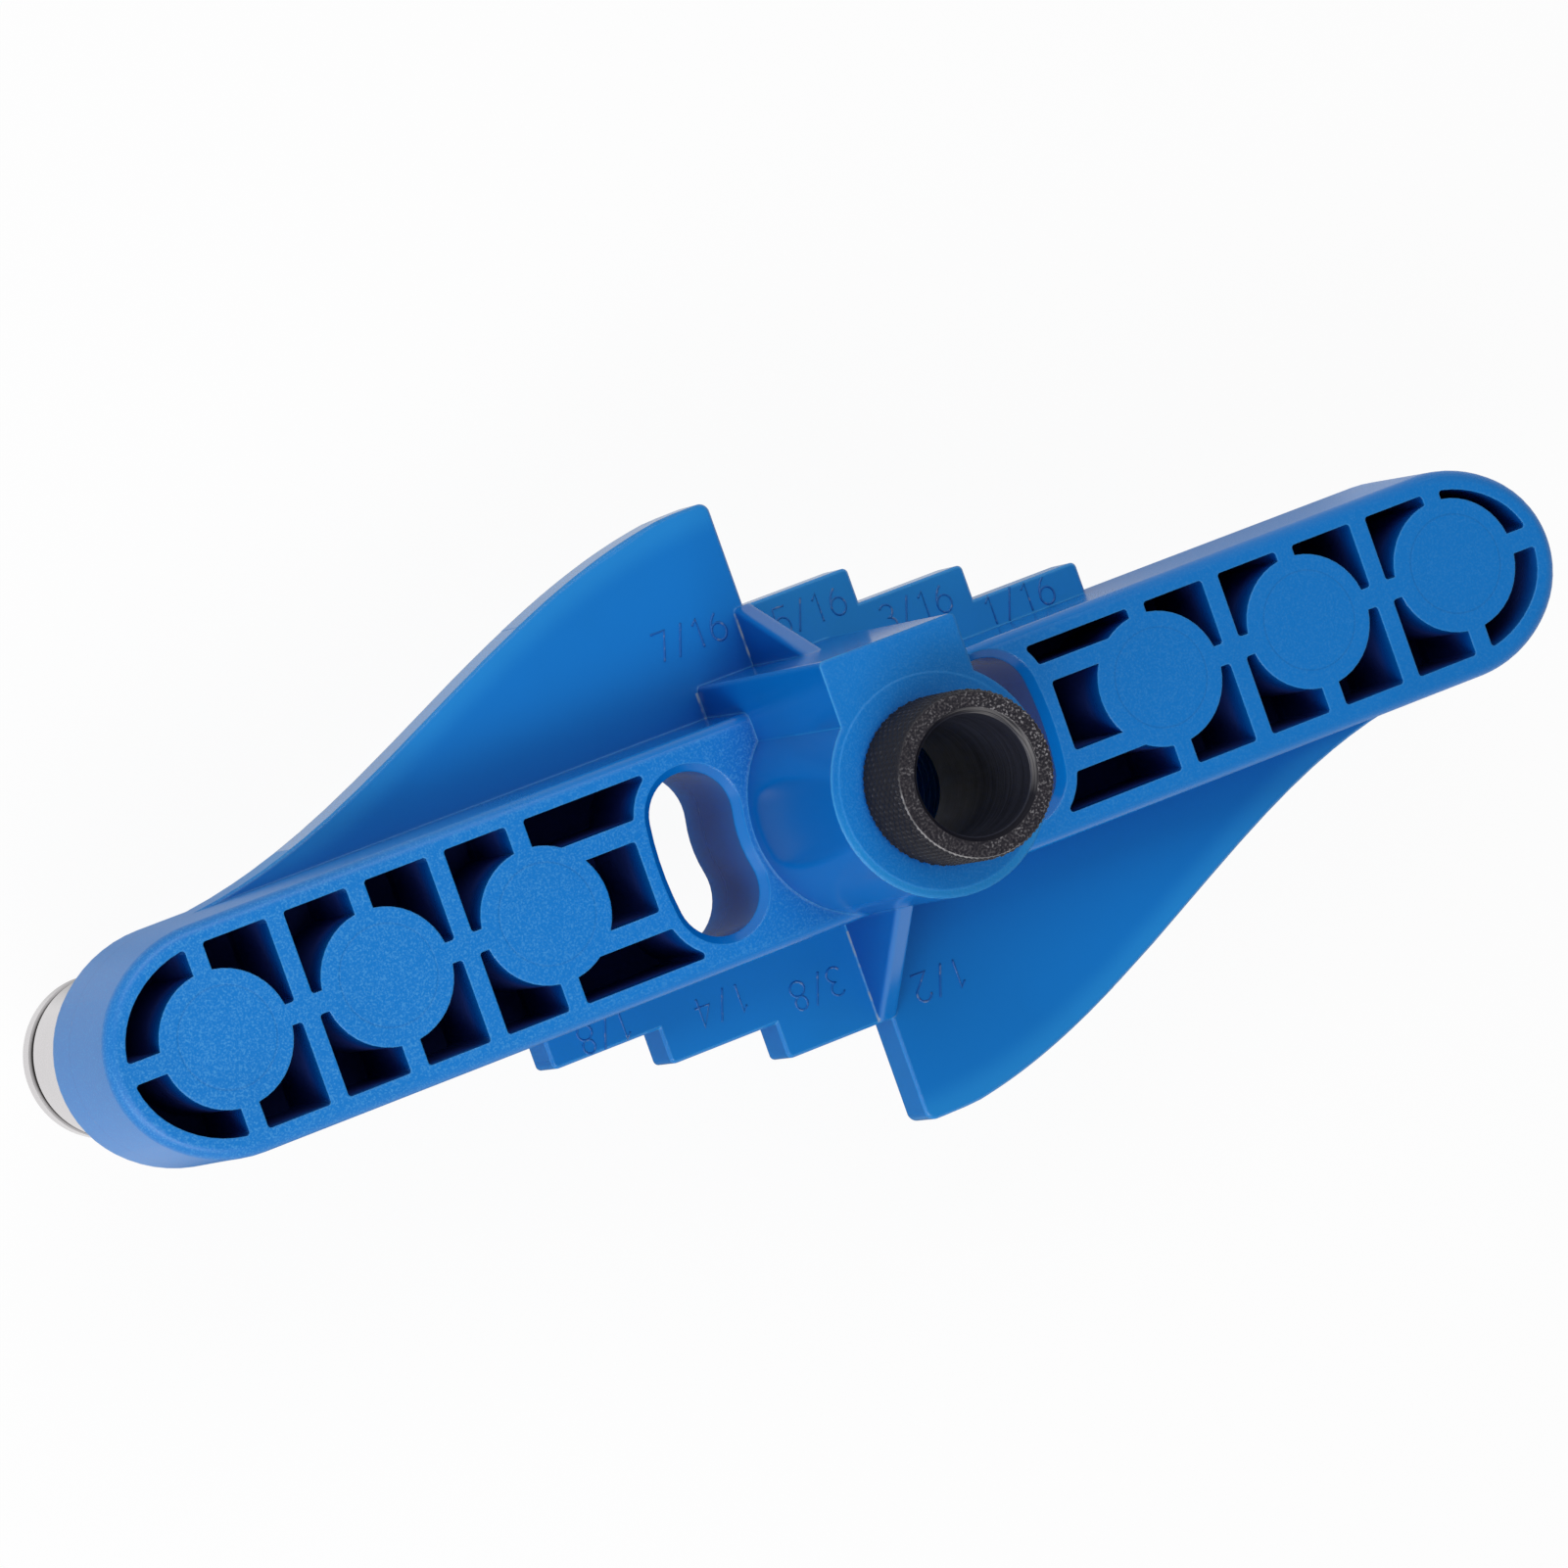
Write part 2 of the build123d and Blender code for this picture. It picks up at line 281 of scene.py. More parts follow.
class Shader:
    """A material, or the world, whose nodes are made and joined by short calls."""

    def __init__(self, name, tree=None):
        if tree is None:
            self.material = bpy.data.materials.new(name)
            self.material.use_nodes = True
            tree = self.material.node_tree
        self.nodes = tree.nodes
        self.links = tree.links
        self.nodes.clear()

    def put(self, socket, value):
        """A value may be another node's output, a number, or a colour of three numbers."""
        if isinstance(value, bpy.types.NodeSocket):
            self.links.new(value, socket)
        elif isinstance(value, tuple) and len(value) == 3 and len(socket.default_value) == 4:
            socket.default_value = value + (1.0,)
        else:
            socket.default_value = value

    def node(self, kind, out=0, options=None, **inputs):
        node = self.nodes.new("ShaderNode" + kind)
        for key, value in (options or {}).items():
            setattr(node, key, value)
        for key, value in inputs.items():
            self.put(node.inputs[key.replace("_", " ")], value)
        return node.outputs[out]

    def math(self, operation, a, b=0.0):
        node = self.nodes.new("ShaderNodeMath")
        node.operation = operation
        self.put(node.inputs[0], a)
        self.put(node.inputs[1], b)
        return node.outputs[0]

    def chain(self, operation, values):
        result = values[0]
        for value in values[1:]:
            result = self.math(operation, result, value)
        return result

    def times(self, *values):
        """The product of the values."""
        return self.chain("MULTIPLY", values)

    def most(self, *values):
        """The largest of the values."""
        return self.chain("MAXIMUM", values)

    def above(self, value, limit):
        """1 where the value is over the limit, and 0 elsewhere."""
        return self.math("GREATER_THAN", value, limit)

    def below(self, value, limit):
        return self.math("LESS_THAN", value, limit)

    def between(self, value, low, high):
        return self.times(self.above(value, low), self.below(value, high))

    def remainder(self, share):
        """What a share leaves of 1."""
        return self.math("SUBTRACT", 1.0, share)

    def far(self, value, middle=0.0):
        """How far a value is from a middle."""
        return self.math("ABSOLUTE", self.math("SUBTRACT", value, middle))

    def reach(self, a, b):
        """The distance of the point (a, b) from the origin."""
        return self.math("SQRT", self.math("ADD", self.times(a, a), self.times(b, b)))

    def past_stations(self, x):
        """How far x is past the outermost station, and 0 between the stations."""
        return self.most(self.math("SUBTRACT", self.far(x), outer_station_x), 0.0)

    def spread(self, value, low, high, to_low, to_high, smooth=False):
        """Maps a range of values onto another, held at its ends."""
        kind = "SMOOTHSTEP" if smooth else "LINEAR"
        return self.node(
            "MapRange", 0, {"interpolation_type": kind}, Value=value,
            From_Min=low, From_Max=high, To_Min=to_low, To_Max=to_high,
        )

    def blend(self, factor, a, b):
        """A colour between a and b."""
        node = self.nodes.new("ShaderNodeMix")
        node.data_type = "RGBA"
        self.put(node.inputs["Factor"], factor)
        self.put(node.inputs["A"], a)
        self.put(node.inputs["B"], b)
        return node.outputs["Result"]

    def noise(self, place, scale, detail=2.0):
        return self.node("TexNoise", 0, None, Vector=place, Scale=scale, Detail=detail)

    def stretch(self, place, scale):
        return self.node("Mapping", 0, None, Vector=place, Scale=scale)

    def axes(self, place):
        node = self.nodes.new("ShaderNodeSeparateXYZ")
        self.put(node.inputs[0], place)
        return node.outputs

    def bump(self, height, strength, distance, normal=None):
        node = self.nodes.new("ShaderNodeBump")
        self.put(node.inputs["Height"], height)
        self.put(node.inputs["Strength"], strength)
        self.put(node.inputs["Distance"], distance)
        if normal:
            self.put(node.inputs["Normal"], normal)
        return node.outputs[0]

    def rounded(self, radius):
        """The normal of the surface as if its edges had this radius."""
        return self.node("Bevel", 0, {"samples": 6}, Radius=radius)

    def edge(self, radius, sharpness):
        """How near a point is to an edge, from 0 to 1."""
        turned = self.nodes.new("ShaderNodeVectorMath")
        turned.operation = "DOT_PRODUCT"
        self.links.new(self.rounded(radius), turned.inputs[0])
        self.links.new(self.nodes.new("ShaderNodeNewGeometry").outputs["Normal"], turned.inputs[1])
        return self.spread(turned.outputs["Value"], 1.0 - sharpness, 1.0, 1.0, 0.0)

    def place(self):
        return self.nodes.new("ShaderNodeTexCoord").outputs["Object"]

    def mix_shaders(self, share, first, second):
        """The second surface by a share, over the first."""
        mix = self.nodes.new("ShaderNodeMixShader")
        self.links.new(share, mix.inputs[0])
        self.links.new(first, mix.inputs[1])
        self.links.new(second, mix.inputs[2])
        return mix.outputs[0]

    def finish(self, kind, **inputs):
        """The surface shader and the output."""
        surface = self.node(kind, 0, None, **inputs)
        self.links.new(surface, self.nodes.new("ShaderNodeOutputMaterial").inputs["Surface"])
        return self.material


def seen_or_mirrored(shader):
    """1 for what the camera, a mirror or glass shows, and 0 for what lights the object."""
    path = shader.nodes.new("ShaderNodeLightPath").outputs
    return shader.most(path["Is Camera Ray"], path["Is Glossy Ray"], path["Is Transmission Ray"])


def make_world():
    """A pale studio with a dark ceiling; the camera sees it white."""
    world = bpy.data.worlds.new("studio")
    bpy.context.scene.world = world
    world.use_nodes = True
    w = Shader("studio", world.node_tree)
    path = w.nodes.new("ShaderNodeLightPath").outputs
    towards = w.axes(w.nodes.new("ShaderNodeTexCoord").outputs["Generated"])
    mirrored = w.spread(towards["Z"], 0.10, 0.90, mirrored_walls, mirrored_ceiling, smooth=True)
    level = w.most(mirrored, path["Is Camera Ray"])
    from_sides = w.spread(towards["X"], -0.2, 0.6, light_from_left, light_from_right)
    around = w.spread(towards["Z"], 0.60, 0.95, from_sides, light_from_ceiling, smooth=True)
    lamp = w.node("Background", 0, None, Color=white, Strength=around)
    seen = w.node("Background", 0, None, Color=white, Strength=level)
    mix = w.mix_shaders(seen_or_mirrored(w), lamp, seen)
    w.links.new(mix, w.nodes.new("ShaderNodeOutputWorld").inputs["Surface"])


def make_lamp(name, place, size, power):
    """A soft box aimed at the object."""
    data = bpy.data.lights.new(name, "AREA")
    data.shape = "RECTANGLE"
    data.size, data.size_y = size
    data.energy = power
    lamp = bpy.data.objects.new(name, data)
    bpy.context.scene.collection.objects.link(lamp)
    lamp.location = place
    lamp.rotation_mode = "QUATERNION"
    lamp.rotation_quaternion = (-Vector(place)).to_track_quat("-Z", "Y")


def floor_material():
    """A pale floor that keeps the object's shadow, is mirrored in it, and is clear from below."""
    m = Shader("pale_floor")
    path = m.nodes.new("ShaderNodeLightPath").outputs
    along = m.axes(m.place())
    behind = m.spread(along["Y"], 8 * mm, 16 * mm, 0.0, mirrored_behind)
    in_front = m.spread(along["Y"], -60 * mm, -35 * mm, mirrored_in_front, 0.0)
    beside = m.spread(m.far(along["X"], 3 * mm), 58 * mm, 66 * mm, 0.0, mirrored_beside)
    # Painted shadow and light in what mirrors see: the floor is dark under the object, and brighter behind,
    # in front and beside it
    mirrored = m.math("ADD", m.most(beside, behind, in_front), mirrored_under)
    level = m.most(mirrored, path["Is Camera Ray"])
    paint = m.node("BsdfDiffuse", 0, None, Color=floor_paint)
    glow = m.node("Emission", 0, None, Color=white, Strength=level)
    glow_share = m.spread(path["Is Camera Ray"], 0.0, 1.0, 1.0, floor_glow_share)
    lit = m.mix_shaders(m.times(seen_or_mirrored(m), glow_share), paint, glow)
    from_below = m.nodes.new("ShaderNodeNewGeometry").outputs["Backfacing"]
    surface = m.mix_shaders(from_below, lit, m.node("BsdfTransparent"))
    m.links.new(surface, m.nodes.new("ShaderNodeOutputMaterial").inputs["Surface"])
    return m.material


def make_floor():
    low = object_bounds()[0].z - floor_drop
    size = floor_half_size
    mesh = bpy.data.meshes.new("floor")
    corners = [(-size, -size, low), (size, -size, low), (size, size, low), (-size, size, low)]
    mesh.from_pydata(corners, [], [(0, 1, 2, 3)])
    mesh.materials.append(floor_material())
    floor = bpy.data.objects.new("floor", mesh)
    bpy.context.scene.collection.objects.link(floor)


def pocket_shade(m, x, y, z):
    """Painted shade of the pockets: 1 on the open faces, falling to 0 down their walls; and 1 in the
    drill's bore.
    """
    past = m.past_stations(x)
    from_middle = m.reach(past, y)
    from_axis = m.reach(x, y)
    on_narrow_side = m.times(m.above(x, 0.0), m.above(y, 0.0))
    narrow_reach = m.spread(past, 0.0, pocket_reach, *narrow_pocket_reach)
    side_reach = m.spread(on_narrow_side, 0.0, 1.0, pocket_reach, narrow_reach)
    right_end = m.above(x, outer_station_x)
    end_reach = m.spread(right_end, 0.0, 1.0, pocket_reach, narrow_pocket_reach[1])
    inside = m.times(m.below(from_middle, m.math("MINIMUM", side_reach, end_reach)),
                     m.above(from_axis, hole_reach),
                     m.between(z, pocket_floor_z - 0.1 * mm, bar_top_z - 0.01 * mm))
    lit = m.spread(z, bar_top_z - pocket_light_depth, bar_top_z + 0.3 * mm, 0.0, 1.0, smooth=True)
    return m.remainder(m.times(inside, m.remainder(lit))), m.below(from_axis, bore_reach)


def witness_rings(m, x, y, z):
    """A fine ring on each round boss, from 0 to 1."""
    node = m.nodes.new("ShaderNodeMath")
    node.operation = "WRAP"
    m.put(node.inputs[0], x)
    m.put(node.inputs[1], station_pitch / 2)
    m.put(node.inputs[2], -station_pitch / 2)
    across = m.math("SUBTRACT", node.outputs[0], ring_shift[0])
    reach = m.reach(across, m.math("SUBTRACT", y, ring_shift[1]))
    ring = m.spread(m.far(reach, ring_radius), 0.03 * mm, 0.12 * mm, 1.0, 0.0, smooth=True)
    return m.times(ring, m.above(z, bar_top_z - near_face), m.above(m.far(x), ring_from_x))


def boss_ring(m, x, y, z):
    """The low step round the bush on the boss's front, from 0 inside to 1 outside, and its line."""
    reach = m.reach(x, y)
    on_boss = m.above(z, boss_front_z - near_face)
    past_ring = m.math("SUBTRACT", reach, boss_ring_radius)
    step = m.spread(past_ring, -0.12 * mm, 0.12 * mm, 0.0, 1.0, smooth=True)
    line = m.spread(m.far(reach, boss_ring_radius), 0.05 * mm, 0.20 * mm, 1.0, 0.0, smooth=True)
    return m.times(step, on_boss), m.times(line, on_boss)


def root_and_figure_highlights(m, place, x, y, z):
    """Painted highlights: pale broken lines at the feet of the block and the gussets, along their small
    root fillets, and pale flecks on the raised figures.
    """
    lines = []
    for foot_x, from_y, to_y in highlighted_feet:
        near = m.spread(m.far(x, foot_x), 0.05 * mm, 0.16 * mm, 1.0, 0.0)
        lines.append(m.times(near, m.between(y, from_y, to_y)))
    at_foot = m.between(z, plate_top_z - 0.10 * mm, plate_top_z + 0.22 * mm)
    broken = m.spread(m.noise(place, highlight_break_scale, 2.0), 0.40, 0.58, 0.1, 1.0)
    on_figures = m.between(z, plate_top_z + 0.015 * mm, plate_top_z + 0.08 * mm)
    flecks = m.times(on_figures, m.spread(m.noise(place, fleck_scale, 2.0), 0.56, 0.66, 0.0, 0.6))
    return m.most(m.times(m.most(*lines), at_foot, broken), flecks)


def fin_glow(m, x, y, z):
    """Painted light along the curved edge of the two tall fins, from 0 to 1."""
    wave = m.math("COSINE", m.times(m.far(x), math.pi / fin_reach))
    tip_y = m.spread(m.above(y, 0.0), 0.0, 1.0, fin_tips_y[1], fin_tips_y[0])
    inwards = m.math("SUBTRACT", m.spread(wave, -1.0, 1.0, fin_root_y, tip_y), m.far(y))
    glow = m.spread(inwards, 0.5 * mm, 3.0 * mm, 1.0, 0.0, smooth=True)
    past_bar = m.spread(m.far(y), 9.8 * mm, 11.5 * mm, 0.0, 1.0)
    return m.times(glow, m.below(z, plate_zone_z), m.below(m.times(x, y), 0.0), past_bar)


def plastic_zones(m, x, y, z, facing):
    """Where the body is front, grained, part of the middle or of the treads, each from 0 to 1."""
    front = m.spread(facing, 0.90, 0.98, 0.0, 1.0)
    outward = m.reach(m.past_stations(x), y)
    towards_end = m.spread(m.far(x), *bar_grain_x, 0.0, 1.0, smooth=True)
    bar_wall = m.times(m.between(outward, *bar_wall_reach), towards_end, m.remainder(front))
    grained = m.most(m.times(front, m.above(z, bar_top_z - 0.3 * mm)), bar_wall)
    middle = m.times(m.spread(m.far(x), *middle_x, 1.0, 0.0),
                     m.spread(z, plate_top_z, plate_top_z + 0.4 * mm, 0.0, 1.0))
    past_bar = m.above(m.far(y), bar_half_width)
    treads = m.times(m.above(m.times(x, y), 0.0), m.below(z, plate_zone_z),
                     m.most(front, past_bar))
    return front, grained, middle, treads


def plastic_light(m, facing, middle, treads):
    """How open each place is to light, for painted shade: 0 in corners, 1 in the open, less on the upright
    walls of the middle, and nearly 1 on the treads, which is painted light.
    """
    light = m.node("AmbientOcclusion", 1, {"samples": 6}, Distance=shade_distance)
    light = m.spread(light, 0.33, 0.70, 0.0, 1.0)
    upright = m.times(m.spread(facing, 0.2, 0.8, 0.42, 0.0), middle)
    return m.most(m.times(light, m.remainder(upright)), m.times(treads, tread_openness))


def plastic_highlight(m, x, y, z, treads, step, line):
    """Painted highlights: the paler blue of edges, treads, the fins' curved edges and the boss's outer
    ring.
    """
    # A stronger painted highlight on the block's front-left vertical edge
    corner = m.times(m.above(z, bar_top_z + 8 * mm), m.below(x, -4 * mm))
    strength = m.spread(m.most(corner, treads), 0.0, 1.0, other_edges, 1.0)
    edges = m.times(m.edge(0.24 * mm, 0.14), strength)
    # Painted light: the treads go paler, more on those above the bar
    tread_lift = m.times(treads, m.spread(y, 0.0, 8 * mm, 0.12, 0.42))
    # Painted highlight on the lower side of the boss's step, where the light falls
    ring_lift = m.times(step, m.spread(y, -3 * mm, 3 * mm, 0.38, 0.0))
    glow = m.times(fin_glow(m, x, y, z), glow_strength)
    return m.most(edges, tread_lift, m.times(line, ring_line_strength), ring_lift, glow)


def blue_plastic():
    """Moulded plastic: sparked grain on the bar and boss, smooth walls and fins, rounded edges, with
    painted shade in corners and pockets and painted highlights on edges, treads and grain.
    """
    m = Shader("blue_plastic")
    place = m.place()
    axes = m.axes(place)
    x, y, z = axes["X"], axes["Y"], axes["Z"]
    facing = m.axes(m.nodes.new("ShaderNodeNewGeometry").outputs["Normal"])["Z"]
    front, grained, middle, treads = plastic_zones(m, x, y, z, facing)
    rings = witness_rings(m, x, y, z)
    step, line = boss_ring(m, x, y, z)
    pocket, bore = pocket_shade(m, x, y, z)
    on_figures = m.between(z, plate_top_z + 0.010 * mm, plate_top_z + 0.09 * mm)
    grain = m.noise(place, grain_scale, 1.0)

    # Painted shade: where the occlusion node finds corners, and on the middle's upright walls, the blue
    # goes towards the shade blue
    body = m.blend(plastic_light(m, facing, middle, treads), shade_blue, blue)
    body = m.blend(plastic_highlight(m, x, y, z, treads, step, line), body, lit_blue)
    tone = m.spread(m.noise(place, tone_scale, 3.0), 0.3, 0.7, 0.95, 1.05)
    tone = m.times(tone, m.spread(rings, 0.0, 1.0, 1.0, ring_shading))
    body = m.blend(m.math("MINIMUM", tone, 1.0), black, body)
    # Painted glints on the grained faces, strongest to the left and low on the bar, where the lamps'
    # highlights fall
    glints = m.times(m.spread(grain, 0.48, 0.74, 0.0, glint_strength), grained,
                     m.spread(x, -50 * mm, 40 * mm, 1.0, 0.25),
                     m.spread(z, bar_top_z, bar_top_z + 10 * mm, 1.0, 0.5))
    body = m.blend(glints, body, glint_blue)
    # Painted shade: the pockets fall to navy down their walls
    colour = m.blend(pocket, navy, body)
    # Painted shade: the raised figures are darkened towards the shade blue
    colour = m.blend(m.times(on_figures, figure_shading), colour, shade_blue)
    # Painted highlights: pale lines at the feet of the block and gussets, and pale flecks on the figures
    colour = m.blend(m.times(root_and_figure_highlights(m, place, x, y, z), root_highlight_strength), colour, highlight_pale)
    colour = m.blend(bore, colour, bore_blue)

    satin = m.spread(grain, 0.35, 0.65, *grained_rough)
    smooth = m.spread(front, 0.0, 1.0, walls_rough, front_rough)
    rough = m.most(m.spread(grained, 0.0, 1.0, smooth, satin),
                   m.spread(pocket, 0.1, 0.9, pocket_rough, 0.0),
                   m.times(bore, bore_rough), m.times(on_figures, figures_rough))
    softness = m.spread(middle, 0.0, 1.0, *body_rounding)
    normal = m.bump(grain, m.times(grained, 0.6), grain_depth, m.rounded(softness))
    normal = m.bump(rings, 0.3, -ring_depth, normal)
    normal = m.bump(step, 0.6, -step_depth, normal)
    return m.finish("BsdfPrincipled", Base_Color=colour, Roughness=rough, Normal=normal)


def bush_bare(m, place, x, y, z, reach, patchy, on_face):
    """How bare the bush's steel is, on its worn edges, the knurl's tips and the mouth, from 0 to 1; partly
    real wear and partly painted highlight, as the rim, chamfer and mouth are bare only on the sides towards
    the light.
    """
    # The sides towards the light, to which the bare rim, chamfer and mouth are kept, as painted highlight
    to_lower_left = m.spread(m.math("ADD", x, y), -7 * mm, -4 * mm, 1.0, 0.05)
    to_upper_right = m.spread(m.math("ADD", x, m.times(y, 0.7)), 2 * mm, 5 * mm, 0.0, 1.0)
    outer = m.above(reach, 6.2 * mm)
    worn_and_lit_side = m.most(m.times(outer, to_lower_left), m.times(m.remainder(outer), to_upper_right))
    rim = m.times(m.edge(0.05 * mm, 0.12), m.above(z, bush_top_z - 0.9 * mm), worn_and_lit_side,
                  m.spread(patchy, 0.40, 0.58, 0.3, 1.0))
    tips = m.times(m.spread(reach, bush_head_radius - 0.06 * mm, bush_head_radius, 0.0, 0.12),
                   m.spread(patchy, 0.48, 0.60, 0.0, 1.0))
    chamfer = m.times(m.above(z, bush_top_z - 0.15 * mm), m.remainder(on_face), outer, to_lower_left,
                      m.spread(patchy, 0.40, 0.55, 0.35, 0.9))
    mouth_z = bush_top_z - bush_mouth_depth
    marks = m.noise(m.stretch(place, mouth_marks), 1.0, 2.0)
    mouth = m.times(m.spread(z, mouth_z - 0.02 * mm, mouth_z, 0.0, 1.0),
                    m.below(reach, bush_mouth_radius - 0.02 * mm), to_upper_right,
                    m.spread(marks, 0.4, 0.6, 0.05, 0.45))
    worn = m.math("MINIMUM", m.math("ADD", tips, m.math("ADD", rim, mouth)), 1.0)
    return m.most(worn, chamfer)


def bush_black(m, x, y, z, reach, patchy, gritty, lathe_marks, on_face):
    """The blackened colours: gritty and specked on the end face, turned in the bore with a painted patch of
    light low down, plain elsewhere.
    """
    # Pale pits on the end face: real pitting, and painted light in that they show more towards +x
    specks = m.times(m.spread(gritty, 0.54, 0.64, 0.0, 0.85), on_face,
                     m.spread(x, -3 * mm, 6 * mm, 0.30, 1.0), m.spread(patchy, 0.40, 0.62, 0.25, 1.0))
    face = m.blend(m.spread(gritty, 0.35, 0.60, 0.15, 1.0), oxide, oxide_face)
    face = m.blend(specks, face, pitted_and_lit)
    bored = m.blend(m.spread(lathe_marks, 0.35, 0.65, 0.0, 1.0), bore_low, bore_high)
    bored = m.blend(m.spread(z, 31 * mm, 36 * mm, 0.0, 0.5), bored, oxide)
    # Painted light: a pale patch low in the bore, strongest on its -y side
    deep_light = m.times(m.spread(z, 20 * mm, 28 * mm, 0.8, 0.0), m.spread(y, -1 * mm, 3 * mm, 1.0, 0.3))
    bored = m.blend(deep_light, bored, pitted_and_lit)
    in_bore = m.below(reach, bush_bore_radius + 0.1 * mm)
    return m.blend(in_bore, m.blend(on_face, oxide, face), bored)


def black_steel():
    """Blackened steel, turned and knurled, with a rough end face and bright worn edges, partly painted
    highlight.
    """
    m = Shader("black_steel")
    place = m.place()
    axes = m.axes(place)
    x, y, z = axes["X"], axes["Y"], axes["Z"]
    reach = m.reach(x, y)
    patchy = m.noise(place, patch_scale, 4.0)
    gritty = m.noise(place, grit_scale, 3.0)
    lathe_marks = m.noise(m.stretch(place, bore_marks), 1.0, 3.0)
    on_face = m.spread(z, bush_top_z - 0.02 * mm, bush_top_z - 0.005 * mm, 0.0, 1.0)
    bare = bush_bare(m, place, x, y, z, reach, patchy, on_face)
    dark = bush_black(m, x, y, z, reach, patchy, gritty, lathe_marks, on_face)
    colour = m.blend(bare, dark, worn_and_lit_steel)
    knurled = m.spread(reach, 6.72 * mm, 6.75 * mm, 0.0, knurl_rough)
    rough = m.most(m.spread(patchy, 0.3, 0.7, *black_rough), knurled)
    normal = m.bump(lathe_marks, 0.6, lathe_depth, m.rounded(bush_rounding))
    normal = m.bump(gritty, m.times(on_face, 0.8), grit_depth, normal)
    return m.finish("BsdfPrincipled", Base_Color=colour, Roughness=rough, Metallic=bare, Normal=normal,
                    Specular_IOR_Level=0.28)


def bright_steel():
    """Turned steel with fine marks round the axis, a faint haze, and grime in the gap by the guide."""
    m = Shader("bright_steel")
    place = m.place()
    z = m.axes(place)["Z"]
    turned_marks = m.noise(m.stretch(place, roller_marks), 1.0, 2.0)
    haze = m.noise(place, haze_scale, 4.0)
    colour = m.blend(m.spread(haze, 0.35, 0.65, 0.93, 1.0), black, steel)
    head_z, roller_z = screw_head_z[1], roller_ends_z[0]
    gap = m.times(m.spread(z, head_z - 0.20 * mm, head_z - 0.06 * mm, 0.0, 1.0),
                  m.spread(z, roller_z + 0.06 * mm, roller_z + 0.24 * mm, 1.0, 0.0))
    colour = m.blend(m.times(gap, 0.96), colour, grime)
    rough = m.most(m.spread(haze, 0.3, 0.7, *steel_rough), m.times(gap, grime_rough))
    normal = m.bump(turned_marks, 0.10, turning_depth, m.rounded(roller_rounding))
    return m.finish("BsdfPrincipled", Base_Color=colour, Roughness=rough, Metallic=1.0, Normal=normal)


def add_piece(name, points, faces, body, slot, sharp_over=sharp_angle):
    """A mesh piece that rides on a body, with its edges sharp where they turn by more than an angle."""
    mesh = bpy.data.meshes.new(name)
    mesh.from_pydata(points, [], faces)
    mesh.update()
    mesh.shade_smooth()
    mesh.set_sharp_from_angle(angle=math.radians(sharp_over))
    mesh.materials.append(finishes[slot])
    piece = bpy.data.objects.new(name, mesh)
    bpy.context.scene.collection.objects.link(piece)
    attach(piece, body)
    return piece


def turned(outline, segments, centre_x=0.0, closed=False):
    """Points and faces of an outline of (radius, z) turned round Z. A radius may be a function of angle."""
    points = []
    for radius, z in outline:
        for step in range(segments):
            angle = tau * step / segments
            r = radius(angle) if callable(radius) else radius
            points.append((centre_x + r * math.cos(angle), r * math.sin(angle), z))
    faces = []
    rings = len(outline)
    for ring in range(rings if closed else rings - 1):
        a = ring * segments
        b = (ring + 1) % rings * segments
        for step in range(segments):
            after = (step + 1) % segments
            faces.append((a + step, a + after, b + after, b + step))
    if not closed:
        faces.append(tuple(reversed(range(segments))))
        faces.append(tuple(range((rings - 1) * segments, rings * segments)))
    return points, faces


def knurled_radius(z):
    """The bush head's radius at a height, with its diamond knurl, as a function of angle."""
    def tooth(turn):
        return abs((turn % 1.0) * 2 - 1)

    def radius(angle):
        around = knurl_teeth * angle / tau
        along = (z - bush_seat_z) / knurl_pitch
        crest = min(1.0, 1.3 * min(tooth(around + along), tooth(around - along)))
        return bush_head_radius - knurl_depth * (1 - crest)
    return radius


def make_bush():
    """The drill bush: a bored shank with a knurled head, over its CAD solid."""
    head_from = bush_seat_z + bush_chamfer
    head_to = bush_top_z - bush_chamfer
    rows = round((head_to - head_from) / knurl_pitch * knurl_samples)
    outline = [(bush_bore_radius, bush_end_z), (bush_shank_radius, bush_end_z)]
    outline += [(bush_shank_radius, bush_seat_z)]
    outline += [(bush_head_radius - bush_chamfer, bush_seat_z)]
    for row in range(rows + 1):
        z = head_from + (head_to - head_from) * row / rows
        outline.append((knurled_radius(z), z))
    outline += [(bush_head_radius - bush_chamfer, bush_top_z)]
    outline += [(bush_mouth_radius, bush_top_z)]
    outline += [(bush_bore_radius, bush_top_z - bush_mouth_depth)]
    points, faces = turned(outline, knurl_teeth * knurl_samples, closed=True)
    bush = add_piece("bush_knurled", points, faces, "jig", "black_steel")
    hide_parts("drill_bush")


def make_thread():
    """The thread cut in the plastic below the bush, seen through its bore."""
    segments = 96
    top = bush_end_z - 0.6 * mm
    turns = (top - thread_start_z) / thread_pitch
    half_foot = 0.5 * mm
    half_crest = 0.08 * mm
    foot_radius = thread_wall_radius + 0.02 * mm
    points, faces = [], []
    count = int(turns * segments)
    for step in range(count + 1):
        angle = tau * step / segments
        middle = thread_start_z + thread_pitch * step / segments
        fade = min(1.0, step / segments * 2, (count - step) / segments * 2)
        crest = foot_radius + (thread_crest_radius - foot_radius) * max(fade, 0.02)
        profile = [(foot_radius, -half_foot), (crest, -half_crest)]
        profile += [(crest, half_crest), (foot_radius, half_foot)]
        for r, rise in profile:
            points.append((r * math.cos(angle), r * math.sin(angle), middle + rise))
    for step in range(count):
        for side in range(4):
            a = step * 4 + side
            b = step * 4 + (side + 1) % 4
            faces.append((a, b, b + 4, a + 4))
    add_piece("bore_thread", points, faces, "jig", "blue_plastic", thread_sharp_angle)


